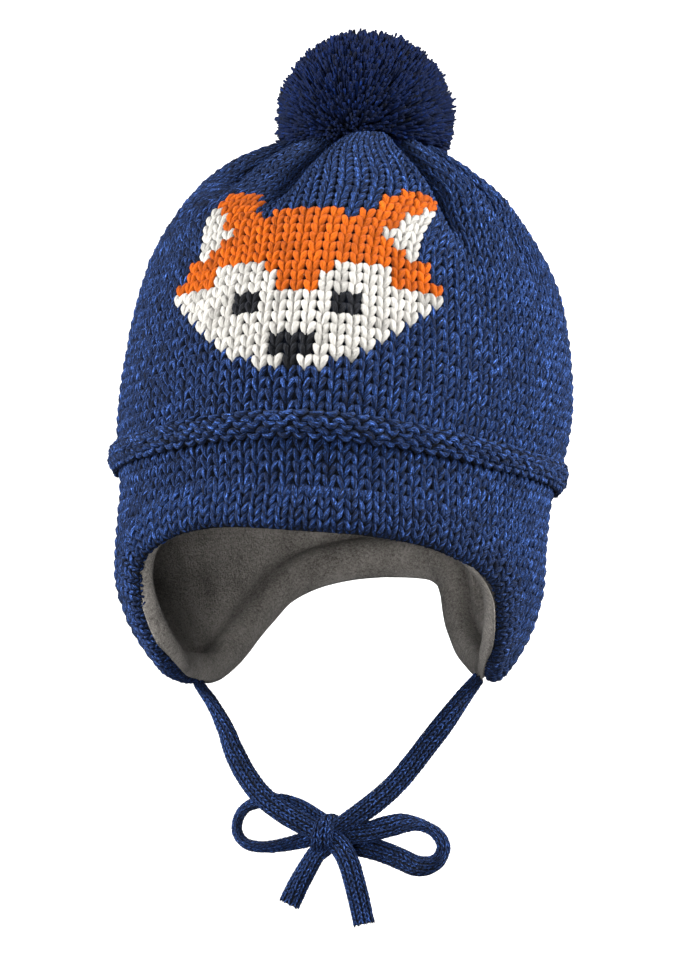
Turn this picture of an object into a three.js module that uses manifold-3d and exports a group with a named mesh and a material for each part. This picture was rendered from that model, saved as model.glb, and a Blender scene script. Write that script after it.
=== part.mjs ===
// A child's knitted pom-pom hat: a gathered crown, a rolled welt, a brim band with two ear flaps,
// an edge band knitted round the rim, a fleece lining, and two ties knotted in a bow.
// Millimetres, +Z up, the front faces -Y. The origin lies in the middle of the hat, level with the front rim.
import * as THREE from "three";
import { mergeVertices } from "three/addons/utils/BufferGeometryUtils.js";
import Module from "manifold-3d";

const wasm = await Module();
wasm.setup();

// Driving dimensions
const KNIT = 3; // thickness of the knitted wall
const GAP = 0.35; // space between pieces that touch
const COLUMNS = 66; // facets round the head
const WELT_HEIGHT = 10;
const WELT_LOW_AT_EARS = 24; // height of the welt's lower line at the ears
const WELT_RISE_FRONT = 7; // how much higher that line runs over the forehead
const WELT_RISE_BACK = 4;
const WELT_RISE_LEFT = 3.2;
const EDGE_BAND = 14; // width of the band knitted along the rim
const POMPOM_RADIUS = 32;
const POMPOM_CENTRE = [4, 16, 160];
const POMPOM_SEAT = 0.8; // space left under its locks, which the faceted crown needs
const POMPOM_LOCK = 3.2; // how far a lock of yarn stands out over the root beside it
const TIE_WIDTH = 7.4;
const TIE_THICKNESS = 3.4;
const KNOT = { centre: [-1.8, 4, -99.6], half: [4.9, 5.6, 7.2] };

// Sections of the knitted surface from the flap tips up to the gathered top.
// fullness widens a section towards the back of the head, and narrows it when negative.
const SECTIONS = [
  { height: -52, halfWidth: 45.0, halfDepth: 54.0, centreX: 0, centreY: -6.0, fullness: 0.05 },
  { height: -42, halfWidth: 61.0, halfDepth: 71.0, centreX: 0, centreY: -5.7, fullness: 0.02 },
  { height: -30, halfWidth: 69.6, halfDepth: 81.0, centreX: 0, centreY: -5.2, fullness: -0.02 },
  { height: -14, halfWidth: 74.8, halfDepth: 87.3, centreX: 0, centreY: -4.6, fullness: -0.06 },
  { height: 4, halfWidth: 75.6, halfDepth: 88.4, centreX: 0, centreY: -3.6, fullness: -0.05 },
  { height: 20, halfWidth: 76.2, halfDepth: 89.1, centreX: 0, centreY: -2.0, fullness: 0.0 },
  { height: 36, halfWidth: 79.2, halfDepth: 92.7, centreX: 0.2, centreY: -0.4, fullness: 0.05 },
  { height: 54, halfWidth: 80.4, halfDepth: 94.1, centreX: 0.7, centreY: 1.3, fullness: 0.085 },
  { height: 74, halfWidth: 78.8, halfDepth: 91.4, centreX: 0.8, centreY: 3.5, fullness: 0.1 },
  { height: 92, halfWidth: 75.8, halfDepth: 86.6, centreX: 0.8, centreY: 5.8, fullness: 0.09 },
  { height: 108, halfWidth: 70.8, halfDepth: 79.8, centreX: 0.6, centreY: 8.0, fullness: 0.07 },
  { height: 120, halfWidth: 64.8, halfDepth: 72.0, centreX: 0.4, centreY: 9.7, fullness: 0.03 },
  { height: 130, halfWidth: 57.0, halfDepth: 62.4, centreX: 0, centreY: 11.1, fullness: 0.0 },
  { height: 138, halfWidth: 46.8, halfDepth: 50.6, centreX: -0.6, centreY: 12.3, fullness: -0.05 },
  { height: 144, halfWidth: 37.2, halfDepth: 40.2, centreX: 0, centreY: 13.2, fullness: -0.08 },
  { height: 148.5, halfWidth: 28.6, halfDepth: 30.8, centreX: 1.4, centreY: 14.2, fullness: -0.08 },
  { height: 150.5, halfWidth: 20.8, halfDepth: 22.4, centreX: 3, centreY: 15.2, fullness: -0.04 },
  { height: 149.0, halfWidth: 13.0, halfDepth: 14.0, centreX: 4, centreY: 16.0, fullness: 0.0 },
  { height: 146.5, halfWidth: 6.5, halfDepth: 7.0, centreX: 4, centreY: 16.0, fullness: 0.0 },
  { height: 145.5, halfWidth: 0, halfDepth: 0, centreX: 4, centreY: 16.0, fullness: 0.0 },
];
const POLE = SECTIONS.length - 1;
const HIGHEST_SECTION = 16; // the sections after it dip under the pompom

// Folds of the gathered top: each runs from an angle at the gather down to an angle where it fades out.
const FOLDS = [
  { topAngle: -8, lowAngle: -14, lowHeight: 112, depth: 9, width: 9 },
  { topAngle: -36, lowAngle: -36, lowHeight: 118, depth: 6, width: 9 },
  { topAngle: 42, lowAngle: 52, lowHeight: 98, depth: 9.5, width: 5 },
  { topAngle: 66, lowAngle: 80, lowHeight: 92, depth: 5, width: 7 },
  { topAngle: 98, lowAngle: 106, lowHeight: 104, depth: 7, width: 9 },
  { topAngle: 135, lowAngle: 138, lowHeight: 100, depth: 8, width: 9 },
  { topAngle: 176, lowAngle: 174, lowHeight: 104, depth: 7, width: 10 },
  { topAngle: -146, lowAngle: -146, lowHeight: 100, depth: 8, width: 9 },
  { topAngle: -108, lowAngle: -106, lowHeight: 104, depth: 7, width: 9 },
  { topAngle: -70, lowAngle: -72, lowHeight: 112, depth: 5, width: 9 },
];
const FOLD_FULL = 2; // sections above its low end at which a fold has its whole depth
const FOLD_TOP = 14; // section at which a fold reaches its top angle
const FOLD_FADE = [14.5, 17.5]; // sections between which every fold closes again
const GORE_PUFF = 1.8; // how far the cloth between the folds stands proud
const PUFF_RISE = [10, 14];
const PUFF_FADE = [15.5, 17.5];

// The lower rim: forehead, right flap, nape and left flap. The soft hat hangs a little unevenly.
const RIM = [
  { angle: 5, height: -0.3 },
  { angle: 22, height: -1.6 },
  { angle: 38, height: -4.6 },
  { angle: 52, height: -11 },
  { angle: 61, height: -18 },
  { angle: 67.5, height: -27 },
  { angle: 74, height: -36 },
  { angle: 81, height: -42.8 },
  { angle: 93, height: -46 },
  { angle: 108, height: -46.4 },
  { angle: 124, height: -44.6 },
  { angle: 138, height: -40 },
  { angle: 147, height: -33 },
  { angle: 152.2, height: -24.5 },
  { angle: 154.6, height: -16 },
  { angle: 156, height: -9 },
  { angle: 158.4, height: -4 },
  { angle: 163, height: -1.2 },
  { angle: 169, height: -0.1 },
  { angle: 175, height: 0.2 },
  { angle: 182, height: 0.1 },
  { angle: 192, height: -1.4 },
  { angle: 202, height: -5 },
  { angle: 210.5, height: -11.4 },
  { angle: 217, height: -21.5 },
  { angle: 226, height: -36 },
  { angle: 236.5, height: -44 },
  { angle: 255, height: -47.6 },
  { angle: 278, height: -48 },
  { angle: 293.5, height: -46 },
  { angle: 302.2, height: -40.2 },
  { angle: 306.5, height: -30 },
  { angle: 310.5, height: -18.5 },
  { angle: 314.8, height: -8.5 },
  { angle: 323, height: -3.4 },
  { angle: 333, height: 0 },
  { angle: 346, height: 1.2 },
];

// The lining's thickness by distance from the rim: a padded hem, the crease behind it, then plain fleece.
const LINING = [
  { fromRim: 0, thickness: 3.2 },
  { fromRim: 2.5, thickness: 4.8 },
  { fromRim: 7, thickness: 5.6 },
  { fromRim: 11.5, thickness: 4.6 },
  { fromRim: 13.5, thickness: 2.0 },
  { fromRim: 19, thickness: 3.2 },
];
const FLEECE = 2.4; // thickness of the plain fleece behind the welt

// Centre lines of the ties, from the flap tips to the knot, round the loops and down the tails
const LEFT_TIE = [
  [-48.8, 8.6, -46.45], [-45.6, 7.6, -54.2], [-40.7, 6.4, -62.3], [-37.2, 4.8, -70.2], [-32.6, 2.8, -78],
  [-26.2, 0.8, -85.7], [-18.4, 0.2, -91.7], [-9.9, 0.8, -96.4], [-1.8, 3, -99.6],
];
const RIGHT_TIE = [
  [48.7, 9.0, -42.7], [43.8, 7.9, -51.0], [38.9, 7, -59], [33.7, 6, -66.6], [28.1, 4.8, -74.4],
  [22.4, 3.2, -81.6], [16.1, 1.8, -87.7], [9.6, 1.2, -92.6], [4, 1.4, -96.4], [-1.8, 3, -99.6],
];
const LEFT_TAIL = [
  [-1.8, 3, -100.4], [-4.6, 2.4, -104.8], [-8, 2, -111.4], [-11.6, 2.2, -117.4], [-15.1, 2.8, -124.6],
];
const RIGHT_TAIL = [
  [-1.8, 2.6, -100], [3.4, 0.4, -103.6], [6.6, -0.6, -109], [8.6, -0.6, -114.8], [10.7, 0, -122.7],
  [12.6, 0.8, -131.1],
];
const LEFT_LOOP = [
  [-1.8, 7, -98.4], [-6.6, 7.4, -94.8], [-13.1, 7.2, -91], [-20.1, 7, -88.6], [-27.1, 7.2, -88.2],
  [-32.5, 7.2, -90.4], [-35.2, 6.6, -94.4], [-35.4, 5.8, -99], [-32.8, 5, -102.8], [-28.1, 4.4, -104.4],
  [-20.8, 4, -104.2], [-12.8, 3.6, -102.6], [-6.2, 3.4, -101], [-1.8, 3.6, -100],
];
const RIGHT_LOOP = [
  [-1.8, 4.4, -99.4], [5.5, 4.6, -99.4], [12.7, 4.4, -98.6], [19.9, 4, -96.6], [26.6, 3.6, -95.4],
  [33.4, 3.4, -96.4], [38.2, 3.6, -99.4], [40, 4, -103.4], [38.6, 4.8, -107.4], [35, 5.8, -109.8],
  [29.8, 6.8, -110.2], [23.7, 7.8, -107.8], [17.1, 8.8, -105.4], [10.6, 9.6, -103.8], [4.4, 9.8, -103],
  [-1.8, 9, -102.6],
];

const DENIM = 0x35558c;
const NAVY = 0x1f3866;
const GREY = 0x7c7772;

// Catmull-Rom interpolation of a table's columns, at a position counted in rows
function between(table, position, wraps = 0) {
  const count = table.length;
  const row = Math.min(Math.floor(position), wraps ? Infinity : count - 2);
  const f = position - row;
  const value = {};
  for (const column of Object.keys(table[0])) {
    const at = (i) => {
      if (!wraps) return table[Math.min(Math.max(i, 0), count - 1)][column];
      const turns = Math.floor(i / count);
      return table[i - turns * count][column] + (column === "angle" ? turns * wraps : 0);
    };
    const [p0, p1, p2, p3] = [at(row - 1), at(row), at(row + 1), at(row + 2)];
    const [m1, m2] = [(p2 - p0) / 2, (p3 - p1) / 2];
    value[column] = (2 * f ** 3 - 3 * f ** 2 + 1) * p1 + (f ** 3 - 2 * f ** 2 + f) * m1
      + (-2 * f ** 3 + 3 * f ** 2) * p2 + (f ** 3 - f ** 2) * m2;
  }
  return value;
}

const { clamp, smoothstep, degToRad: radians } = THREE.MathUtils;

// The position in SECTIONS, counted in rows, of a height on the sides
function sectionAt(height) {
  const HALVINGS = 30;
  let [low, high] = [0, HIGHEST_SECTION];
  for (let i = 0; i < HALVINGS; i++) {
    const middle = (low + high) / 2;
    if (between(SECTIONS, middle).height < height) low = middle;
    else high = middle;
  }
  return (low + high) / 2;
}

// A point of the smooth surface without folds. Angle 0 is the front, 90 the right ear.
function smoothPoint(angle, position) {
  const s = between(SECTIONS, position);
  const [sin, cos] = [Math.sin(radians(angle)), Math.cos(radians(angle))];
  return new THREE.Vector3(
    s.centreX + s.halfWidth * sin * (1 - s.fullness * cos),
    s.centreY - s.halfDepth * cos,
    s.height,
  );
}

// The direction that points straight out of the smooth surface
function outward(angle, position) {
  const p = clamp(position, 0.02, POLE - 0.05);
  const across = smoothPoint(angle + 0.5, p).sub(smoothPoint(angle - 0.5, p));
  const up = smoothPoint(angle, p + 0.02).sub(smoothPoint(angle, p - 0.02));
  return across.cross(up).normalize();
}

const foldStarts = FOLDS.map((fold) => sectionAt(fold.lowHeight));

// How far the folds draw the cloth in at a place, less the puff of the cloth between them
function foldDepth(angle, position) {
  let depth = -GORE_PUFF * smoothstep(position, ...PUFF_RISE) * (1 - smoothstep(position, ...PUFF_FADE));
  FOLDS.forEach((fold, i) => {
    const start = foldStarts[i];
    const along = clamp((position - start) / (FOLD_TOP - start), 0, 1);
    const centre = THREE.MathUtils.lerp(fold.lowAngle, fold.topAngle, along);
    const off = THREE.MathUtils.euclideanModulo(angle - centre + 180, 360) - 180;
    const rise = smoothstep(position, start - 0.5, start + FOLD_FULL);
    const fall = 1 - smoothstep(position, ...FOLD_FADE);
    depth += fold.depth * rise * fall * Math.exp(0.25 - 1.25 * Math.hypot(off / fold.width, 0.2));
  });
  return depth;
}

// A point of the knitted surface, moved out along its normal by a number of millimetres
function skin(angle, position, out = 0) {
  const n = outward(angle, position);
  return smoothPoint(angle, position).addScaledVector(n, out - foldDepth(angle, position));
}

// The height of the welt's lower line
function weltLine(angle) {
  const cos = Math.cos(radians(angle));
  const left = Math.max(0, -Math.sin(radians(angle)));
  const rise = (cos > 0 ? WELT_RISE_FRONT : WELT_RISE_BACK) * Math.abs(cos) ** 3;
  return WELT_LOW_AT_EARS + rise + WELT_RISE_LEFT * left ** 3;
}

// The rim sampled at equal steps along its length, with the direction that leads away from it
function rimStations() {
  const place = (row) => {
    const { angle, height } = between(RIM, row, 360);
    return { angle, height, point: smoothPoint(angle, sectionAt(height)) };
  };
  const FINE = 16;
  const fine = Array.from({ length: RIM.length * FINE + 1 }, (_, i) => place(i / FINE));
  const run = [0];
  for (let i = 1; i < fine.length; i++) run.push(run[i - 1] + fine[i].point.distanceTo(fine[i - 1].point));
  const stations = [];
  for (let j = 0; j < COLUMNS; j++) {
    const goal = (run[run.length - 1] * j) / COLUMNS;
    const i = run.findIndex((r) => r > goal);
    const row = (i - 1 + (goal - run[i - 1]) / (run[i] - run[i - 1])) / FINE;
    const here = place(row);
    const along = place(row + 0.2).point.sub(place(row - 0.2).point).normalize();
    const away = outward(here.angle, sectionAt(here.height)).cross(along).normalize();
    stations.push({ ...here, away });
  }
  return stations;
}
const STATIONS = rimStations();

// The angle and height reached by going a distance over the surface straight away from the rim
function fromRim(station, distance) {
  const goal = station.point.clone().addScaledVector(station.away, distance);
  const s = between(SECTIONS, sectionAt(goal.z));
  const turn = Math.atan2((goal.x - s.centreX) / s.halfWidth, -(goal.y - s.centreY) / s.halfDepth);
  let angle = THREE.MathUtils.radToDeg(turn);
  angle += 360 * Math.round((station.angle - angle) / 360);
  return { angle, height: goal.z };
}

const onSkin = ({ angle, height }, out) => skin(angle, sectionAt(height), out);

// The place a share of the way from one place to another
const towards = (a, b, share) => ({
  angle: THREE.MathUtils.lerp(a.angle, b.angle, share),
  height: THREE.MathUtils.lerp(a.height, b.height, share),
});

// A closed body lofted round the head through one section polygon for each column. With poles, the
// first and last points are shared by all the sections. Each facet is cut along its shorter diagonal.
function loftAround(sections, poles = false) {
  const positions = [];
  const faces = [];
  const rows = sections[0].length;
  const index = (j, k) => {
    if (poles && k === 0) return 0;
    if (poles && k === rows - 1) return rows - 1;
    return ((j % sections.length) * rows) + k;
  };
  for (const section of sections) for (const p of section) positions.push(p.x, p.y, p.z);
  const steps = poles ? rows - 1 : rows;
  for (let j = 0; j < sections.length; j++) {
    for (let k = 0; k < steps; k++) {
      const next = sections[(j + 1) % sections.length];
      const [a, b] = [index(j, k), index(j + 1, k)];
      const [c, d] = [index(j + 1, (k + 1) % rows), index(j, (k + 1) % rows)];
      const across = sections[j][k].distanceTo(next[(k + 1) % rows]);
      const back = next[k].distanceTo(sections[j][(k + 1) % rows]);
      if (a === b) faces.push(a, c, d);
      else if (c === d) faces.push(a, b, c);
      else if (across < back) faces.push(a, b, c, a, c, d);
      else faces.push(a, b, d, b, c, d);
    }
  }
  const geometry = new THREE.BufferGeometry();
  geometry.setAttribute("position", new THREE.Float32BufferAttribute(positions, 3));
  geometry.setIndex(faces);
  return geometry;
}

const columnAngles = Array.from({ length: COLUMNS }, (_, j) => (360 * j) / COLUMNS);

function crownGeometry() {
  const OUTER_ROWS = 16;
  const INNER_ROWS = 9;
  return loftAround(columnAngles.map((angle) => {
    const start = sectionAt(weltLine(angle) + WELT_HEIGHT + GAP);
    const row = (share, out) => skin(angle, THREE.MathUtils.lerp(start, POLE, share), out);
    const outer = Array.from({ length: OUTER_ROWS }, (_, k) => row(k / OUTER_ROWS, 0));
    const inner = Array.from({ length: INNER_ROWS }, (_, k) => row(1 - (k + 1) / INNER_ROWS, -KNIT));
    return [skin(0, POLE, -KNIT), ...inner, ...outer, skin(0, POLE)];
  }), true);
}

function weltGeometry() {
  const ROLL = [
    { up: 0.15, out: -KNIT },
    { up: 0.15, out: -0.6 },
    { up: 0.6, out: 1.2 },
    { up: 3.0, out: 2.6 },
    { up: 6.4, out: 2.6 },
    { up: 9.0, out: 1.2 },
    { up: WELT_HEIGHT - 0.15, out: -0.4 },
    { up: WELT_HEIGHT - 0.15, out: -KNIT },
  ];
  return loftAround(columnAngles.map((angle) => (
    ROLL.map(({ up, out }) => onSkin({ angle, height: weltLine(angle) + up }, out)))));
}

// The rows of the brim, from the edge band's seam up to the welt
function brimRows(station, lowest) {
  const ROWS = 5;
  const low = fromRim(station, lowest);
  const high = { angle: station.angle, height: weltLine(station.angle) - GAP };
  return Array.from({ length: ROWS }, (_, k) => towards(low, high, k / (ROWS - 1)));
}

function brimBandGeometry() {
  return loftAround(STATIONS.map((station) => {
    const rows = brimRows(station, EDGE_BAND + GAP);
    const outer = rows.map((place) => onSkin(place, 0));
    const inner = rows.map((place) => onSkin(place, -KNIT));
    return [...inner.reverse(), ...outer];
  }));
}

function edgeBandGeometry() {
  const ROWS = [
    { distance: 0, out: -1.1 },
    { distance: 1.4, out: 0.2 },
    { distance: EDGE_BAND * 0.5, out: 0.7 },
    { distance: EDGE_BAND, out: 0 },
  ];
  return loftAround(STATIONS.map((station) => {
    const outer = ROWS.map(({ distance, out }) => onSkin(fromRim(station, distance), out));
    return [onSkin(fromRim(station, 0), -KNIT), ...outer, onSkin(fromRim(station, EDGE_BAND), -KNIT)];
  }));
}

function liningGeometry() {
  const back = -(KNIT + GAP);
  return loftAround(STATIONS.map((station) => {
    const hem = LINING.map((row) => ({ ...row, place: fromRim(station, row.fromRim) }));
    const rows = brimRows(station, EDGE_BAND + GAP);
    const plain = rows.slice(2).map((place) => onSkin(place, back - FLEECE));
    const inner = [...hem.map(({ place, thickness }) => onSkin(place, back - thickness)), ...plain];
    const outer = [hem[0].place, ...rows].map((place) => onSkin(place, back));
    return [...inner.reverse(), ...outer];
  }));
}

// The height of the crown's top under the pompom, by distance from the gather
function crownTop(x, y) {
  const gather = SECTIONS[POLE];
  const distance = Math.hypot(x - gather.centreX, (y - gather.centreY) * 0.93);
  let height = gather.height;
  for (let i = POLE; i > 12; i--) {
    const [a, b] = [SECTIONS[i], SECTIONS[i - 1]];
    if (distance > a.halfWidth) {
      const share = clamp((distance - a.halfWidth) / (b.halfWidth - a.halfWidth), 0, 1);
      height = THREE.MathUtils.lerp(a.height, b.height, share);
    }
  }
  return height + GORE_PUFF * smoothstep(distance, 4, 14);
}

// Locks of yarn on a core: every vertex of a fine ball that touches no earlier tip becomes a tip.
function pompomGeometry() {
  const ball = new THREE.IcosahedronGeometry(1, 6);
  ball.deleteAttribute("normal");
  ball.deleteAttribute("uv");
  const geometry = mergeVertices(ball);
  const vertex = geometry.attributes.position;
  const neighbours = Array.from({ length: vertex.count }, () => new Set());
  for (let i = 0; i < geometry.index.count; i += 3) {
    const [a, b, c] = [0, 1, 2].map((k) => geometry.index.getX(i + k));
    neighbours[a].add(b).add(c);
    neighbours[b].add(a).add(c);
    neighbours[c].add(a).add(b);
  }
  const tips = new Set();
  for (let i = 0; i < vertex.count; i++) if (![...neighbours[i]].some((n) => tips.has(n))) tips.add(i);
  const [cx, cy, cz] = POMPOM_CENTRE;
  for (let i = 0; i < vertex.count; i++) {
    const radius = tips.has(i) ? POMPOM_RADIUS : POMPOM_RADIUS - POMPOM_LOCK;
    const p = new THREE.Vector3().fromBufferAttribute(vertex, i).setLength(radius);
    const [x, y] = [cx + p.x, cy + p.y];
    vertex.setXYZ(i, x, y, Math.max(cz + p.z, crownTop(x, y) + POMPOM_SEAT));
  }
  return geometry;
}

function solidOf(geometry) {
  const bare = geometry.clone();
  bare.deleteAttribute("normal");
  bare.deleteAttribute("uv");
  const merged = mergeVertices(bare, 1e-4);
  return new wasm.Manifold(new wasm.Mesh({
    numProp: 3,
    vertProperties: merged.attributes.position.array,
    triVerts: new Uint32Array(merged.index.array),
  }));
}

function geometryOf(solid) {
  const mesh = solid.getMesh();
  const geometry = new THREE.BufferGeometry();
  geometry.setAttribute("position", new THREE.BufferAttribute(mesh.vertProperties, 3));
  geometry.setIndex(new THREE.BufferAttribute(mesh.triVerts, 1));
  return geometry;
}

// The knot: an egg with one turn of tie wound slanting over its middle
function knotGeometry(grow = 0) {
  const geometry = new THREE.SphereGeometry(1, 16, 10);
  const vertex = geometry.attributes.position;
  for (let i = 0; i < vertex.count; i++) {
    const p = new THREE.Vector3().fromBufferAttribute(vertex, i);
    const wrap = Math.exp(-(((p.z + 0.45 * p.x) / 0.42) ** 2));
    p.multiplyScalar(0.9 + 0.12 * wrap);
    p.multiply(new THREE.Vector3(...KNOT.half).addScalar(grow)).add(new THREE.Vector3(...KNOT.centre));
    vertex.setXYZ(i, p.x, p.y, p.z);
  }
  return geometry;
}

// What each new strand of the bow is cut to: the knot and the strands laid before it, with the gap
const clearances = [solidOf(knotGeometry(GAP))];

function tieTube(route, grow) {
  const SIDES = 8;
  const outline = new THREE.Shape(Array.from({ length: SIDES }, (_, i) => {
    const turn = (2 * Math.PI * (i + 0.5)) / SIDES;
    return new THREE.Vector2(
      (TIE_THICKNESS / 2 + grow) * Math.cos(turn),
      (TIE_WIDTH / 2 + grow) * Math.sin(turn),
    );
  }));
  const curve = new THREE.CatmullRomCurve3(route.map((p) => new THREE.Vector3(...p)));
  return solidOf(new THREE.ExtrudeGeometry(outline, { steps: route.length, extrudePath: curve }));
}

// A flat knitted cord along a route, cut to the face of the knot and of the strands in front of it
function tieGeometry(route) {
  let solid = tieTube(route, 0);
  for (const other of clearances) solid = solid.subtract(other);
  clearances.push(tieTube(route, GAP));
  const pieces = solid.decompose().sort((a, b) => b.volume() - a.volume());
  return geometryOf(pieces[0].simplify(0.01));
}

const knitMaterial = new THREE.MeshStandardMaterial({ color: DENIM, roughness: 0.95, metalness: 0 });
const pompomMaterial = new THREE.MeshStandardMaterial({ color: NAVY, roughness: 1, metalness: 0 });
const fleeceMaterial = new THREE.MeshStandardMaterial({ color: GREY, roughness: 1, metalness: 0 });

const hat = new THREE.Group();

function addPiece(name, geometry, material) {
  const mesh = new THREE.Mesh(geometry, material.clone());
  mesh.name = name;
  hat.add(mesh);
}

addPiece("crown", crownGeometry(), knitMaterial);
addPiece("welt", weltGeometry(), knitMaterial);
addPiece("brim_band", brimBandGeometry(), knitMaterial);
addPiece("edge_band", edgeBandGeometry(), knitMaterial);
addPiece("lining", liningGeometry(), fleeceMaterial);
addPiece("pompom", pompomGeometry(), pompomMaterial);
addPiece("left_tie", tieGeometry(LEFT_TIE), knitMaterial);
addPiece("right_tie", tieGeometry(RIGHT_TIE), knitMaterial);
addPiece("left_tail", tieGeometry(LEFT_TAIL), knitMaterial);
addPiece("right_tail", tieGeometry(RIGHT_TAIL), knitMaterial);
addPiece("left_loop", tieGeometry(LEFT_LOOP), knitMaterial);
addPiece("right_loop", tieGeometry(RIGHT_LOOP), knitMaterial);
addPiece("bow_knot", knotGeometry(), knitMaterial);

export default hat;
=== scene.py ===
# A child's knitted pom-pom hat with ear flaps, a fleece lining and two cords tied in a bow.
# It is held up as a head holds it, with its front towards -Y. The tables of its shape are in millimetres.
from math import cos, pi, radians, sin

import bmesh
import bpy
import numpy as np
from mathutils import Matrix, Vector


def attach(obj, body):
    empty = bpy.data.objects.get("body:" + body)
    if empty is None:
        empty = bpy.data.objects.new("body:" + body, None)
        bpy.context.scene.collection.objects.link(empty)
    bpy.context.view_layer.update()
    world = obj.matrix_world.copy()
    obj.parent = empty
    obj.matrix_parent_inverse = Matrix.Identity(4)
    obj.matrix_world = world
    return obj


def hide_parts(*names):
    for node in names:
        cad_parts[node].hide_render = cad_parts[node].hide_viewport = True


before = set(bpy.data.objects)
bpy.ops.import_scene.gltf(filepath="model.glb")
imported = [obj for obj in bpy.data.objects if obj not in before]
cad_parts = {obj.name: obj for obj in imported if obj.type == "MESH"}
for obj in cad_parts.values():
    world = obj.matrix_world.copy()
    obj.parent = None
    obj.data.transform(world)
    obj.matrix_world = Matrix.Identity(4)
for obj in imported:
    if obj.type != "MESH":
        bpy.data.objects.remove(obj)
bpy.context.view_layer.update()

MM = 0.001

# The camera
# It stands 12 degrees to the hat's left of the front, looks up by 6 degrees and leans a little. Its aim
# lies beside the hat's middle by as much as the photograph's framing does.
AZIMUTH = radians(12)
ELEVATION = radians(-6)
ROLL = radians(1.2)
DISTANCE = 1.6
AIM = Vector((0, 0, 0.025))
AIM_RIGHT = 4.29 * MM
AIM_UP = 0.54 * MM
LENS = 230.4

back = Vector((sin(AZIMUTH) * cos(ELEVATION), -cos(AZIMUTH) * cos(ELEVATION), sin(ELEVATION)))
level = Vector((cos(AZIMUTH), sin(AZIMUTH), 0))
upright = back.cross(level)
right = level * cos(ROLL) + upright * sin(ROLL)
up = upright * cos(ROLL) - level * sin(ROLL)
camera_data = bpy.data.cameras.new("camera")
camera_data.sensor_fit = "HORIZONTAL"
camera_data.sensor_width = 36
camera_data.lens = LENS
camera = bpy.data.objects.new("camera", camera_data)
camera.matrix_world = Matrix((right, up, back)).transposed().to_4x4()
camera.location = AIM + right * AIM_RIGHT + up * AIM_UP + back * DISTANCE
bpy.context.collection.objects.link(camera)
bpy.context.scene.camera = camera


# The crown
# Stocking stitch in marled two-ply wool, knitted in the round from the welt up. At the top a thread draws
# the last round together, and the surplus cloth falls into deep folds that run down from the gather.
STITCH_HEIGHT = 4.0
KNIT = 3.0  # the knit's thickness
STITCH_OUT = -0.9  # the stitches' middles, from the knit's outer skin
STITCHES_ROUND = 104
FRONT = 1.0  # the angle of the front's middle column
WELT_HEIGHT = 10.0
GAP = 0.35  # between one piece and the next

# height, half width, half depth, centre x, centre y, fullness
SECTIONS = np.array([
    (-52, 45.0, 54.0, 0, -6.0, 0.05),
    (-42, 61.0, 71.0, 0, -5.7, 0.02),
    (-30, 69.6, 81.0, 0, -5.2, -0.02),
    (-14, 74.8, 87.3, 0, -4.6, -0.06),
    (4, 75.6, 88.4, 0, -3.6, -0.05),
    (20, 76.2, 89.1, 0, -2.0, 0.0),
    (36, 79.2, 92.7, 0.2, -0.4, 0.05),
    (54, 80.4, 94.1, 0.7, 1.3, 0.085),
    (74, 78.8, 91.4, 0.8, 3.5, 0.1),
    (92, 75.8, 86.6, 0.8, 5.8, 0.09),
    (108, 70.8, 79.8, 0.6, 8.0, 0.07),
    (120, 64.8, 72.0, 0.4, 9.7, 0.03),
    (130, 57.0, 62.4, 0, 11.1, 0.0),
    (138, 46.8, 50.6, -0.6, 12.3, -0.05),
    (144, 37.2, 40.2, 0, 13.2, -0.08),
    (148.5, 28.6, 30.8, 1.4, 14.2, -0.08),
    (150.5, 20.8, 22.4, 3, 15.2, -0.04),
    (149.0, 13.0, 14.0, 4, 16.0, 0.0),
    (146.5, 6.5, 7.0, 4, 16.0, 0.0),
    (145.5, 0, 0, 4, 16.0, 0.0),
])
POLE = len(SECTIONS) - 1
HIGHEST_SECTION = 16  # past it the cloth turns down into the gather

# the gather's folds: top angle, low angle, low height, depth, width in degrees
FOLDS = (
    (-8, -14, 112, 9, 9),
    (-36, -36, 118, 6, 9),
    (42, 52, 98, 9.5, 5),
    (66, 80, 92, 5, 7),
    (98, 106, 104, 7, 9),
    (135, 138, 100, 8, 9),
    (176, 174, 104, 7, 10),
    (-146, -146, 100, 8, 9),
    (-108, -106, 104, 7, 9),
    (-70, -72, 112, 5, 9),
)
FOLD_ROUNDING = 0.2  # how round a fold's bottom is, as a share of its width
FOLD_STEEPNESS = 1.25
FOLD_CROWDING = 0.18  # how much closer the columns lie for each millimetre of a fold's depth
GORE_PUFF = 1.8  # how far the cloth puffs out between the folds
# where the folds and the puff rise and fade, as positions in SECTIONS
FOLD_FULL = 2  # from a fold's low end
FOLD_TOP = 14
FOLD_FADE = (14.5, 17.5)
PUFF_RISE = (10, 14)
PUFF_FADE = (15.5, 17.5)


def spline(table, position):
    """Catmull-Rom rows of a table, at positions counted in rows."""
    position = np.asarray(position, float)
    last = len(table) - 1
    row = np.clip(np.floor(position).astype(int), 0, last - 1)
    f = (position - row)[..., None]
    p0, p1, p2, p3 = (table[np.clip(row + k, 0, last)] for k in (-1, 0, 1, 2))
    m1, m2 = (p2 - p0) / 2, (p3 - p1) / 2
    return ((2 * f**3 - 3 * f**2 + 1) * p1 + (f**3 - 2 * f**2 + f) * m1
            + (-2 * f**3 + 3 * f**2) * p2 + (f**3 - f**2) * m2)


SIDE_ROWS = np.linspace(0, HIGHEST_SECTION, 1601)
SIDE_HEIGHTS = spline(SECTIONS, SIDE_ROWS)[:, 0]


def section_at(height):
    """The position in SECTIONS of a height on the sides."""
    return np.interp(height, SIDE_HEIGHTS, SIDE_ROWS)


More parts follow.
